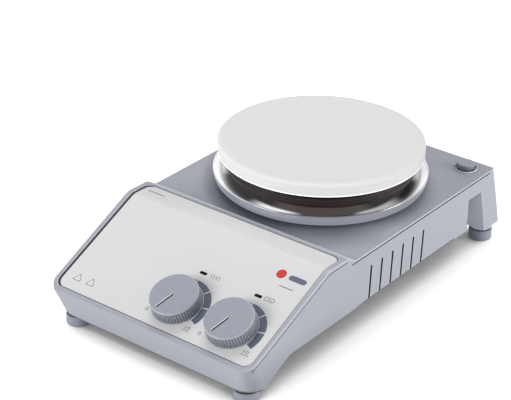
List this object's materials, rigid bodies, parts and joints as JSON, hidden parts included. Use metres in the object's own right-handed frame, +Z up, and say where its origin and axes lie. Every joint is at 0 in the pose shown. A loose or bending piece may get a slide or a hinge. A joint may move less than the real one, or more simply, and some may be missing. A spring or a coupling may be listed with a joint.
{
  "type": "magnetic stirrer",
  "caption": "Low bench unit with a wedge-shaped control panel, turning heat and speed knobs, and a round raised hotplate over a spinning magnet drive.",
  "frame": {"origin": "middle of the footprint, on the bench plane under the feet", "axes": "+Z up, +Y towards the rear, +X to the right of a user facing the control panel"},
  "size_m": [0.16, 0.2792, 0.088],
  "materials": {
    "housing_paint": "satin",
    "cover_paint": "satin",
    "overlay_film": "satin",
    "lamp_window": "gloss",
    "plate_coating": "satin",
    "dish_steel": "polished",
    "insulation_board": "matte",
    "heater_metal": "matte",
    "steel": "satin",
    "knob_plastic": "satin",
    "foot_rubber": "matte",
    "black_plastic": "satin",
    "circuit_board": "satin",
    "copper_winding": "satin",
    "bearing_bronze": "satin",
    "contact_brass": "satin",
    "cable_silicone": "matte",
    "fan_plastic": "matte",
    "magnet_nickel": "satin"
  },
  "bodies": {
    "chassis": {"upper_housing": "housing_paint", "base_cover": "cover_paint", "control_overlay": "overlay_film", "heat_lamp_window": "lamp_window", "stir_lamp_window": "lamp_window", "work_plate": "plate_coating", "heater_disc": "heater_metal", "insulation_disc": "insulation_board", "drip_dish": "dish_steel", "plate_standoff_1": "steel", "plate_standoff_2": "steel", "plate_standoff_3": "steel", "temperature_sensor": "steel", "heater_cable": "cable_silicone", "power_board": "circuit_board", "control_board": "circuit_board", "motor_core": "steel", "motor_coil": "copper_winding", "motor_screw_1": "steel", "motor_screw_2": "steel", "upper_bearing_bracket": "steel", "lower_bearing_bracket": "steel", "upper_bearing": "bearing_bronze", "lower_bearing": "bearing_bronze", "heat_potentiometer": "black_plastic", "speed_potentiometer": "black_plastic", "heat_nut": "steel", "speed_nut": "steel", "mains_inlet": "black_plastic", "inlet_pin_line": "contact_brass", "inlet_pin_neutral": "contact_brass", "inlet_pin_earth": "contact_brass", "switch_frame": "black_plastic", "rod_socket": "steel", "foot_front_left": "foot_rubber", "foot_front_right": "foot_rubber", "foot_rear_left": "foot_rubber", "foot_rear_right": "foot_rubber", "foot_screw_front_left": "steel", "foot_screw_front_right": "steel", "foot_screw_rear_left": "steel", "foot_screw_rear_right": "steel", "cover_screw_1": "steel", "cover_screw_2": "steel", "cover_screw_3": "steel", "cover_screw_4": "steel"},
    "heat_control": {"heat_knob": "knob_plastic", "heat_shaft": "steel"},
    "speed_control": {"speed_knob": "knob_plastic", "speed_shaft": "steel"},
    "stir_drive": {"motor_shaft": "steel", "motor_rotor": "steel", "cooling_fan": "fan_plastic", "magnet_carrier": "fan_plastic", "magnet_north": "magnet_nickel", "magnet_south": "magnet_nickel"},
    "switch_rocker": {"power_rocker": "black_plastic"},
    "fuse_holder": {"fuse_drawer": "black_plastic"},
    "socket_plug": {"rod_socket_plug": "knob_plastic"}
  },
  "joints": [
    {"name": "heat_knob_turn", "type": "hinge", "parent": "chassis", "child": "heat_control", "pos_m": [0.0071, -0.11709, 0.03741], "axis": [0, 0.4146, -0.91], "range_deg": [0, 276]},
    {"name": "speed_knob_turn", "type": "hinge", "parent": "chassis", "child": "speed_control", "pos_m": [0.0492, -0.11709, 0.03741], "axis": [0, 0.4146, -0.91], "range_deg": [0, 276]},
    {"name": "stir_spin", "type": "hinge", "parent": "chassis", "child": "stir_drive", "pos_m": [0, 0.036, 0.045], "axis": [0, 0, 1], "continuous": true},
    {"name": "power_rocker_tip", "type": "hinge", "parent": "chassis", "child": "switch_rocker", "pos_m": [0.03, 0.13034, 0.04056], "axis": [1, 0, 0], "range_deg": [0, 14]},
    {"name": "fuse_drawer_pull", "type": "slide", "parent": "chassis", "child": "fuse_holder", "axis": [0, 0.9493, 0.3144], "range_m": [0, 0.016]},
    {"name": "socket_plug_lift", "type": "slide", "parent": "chassis", "child": "socket_plug", "axis": [0, 0, 1], "range_m": [0, 0.015]}
  ]
}
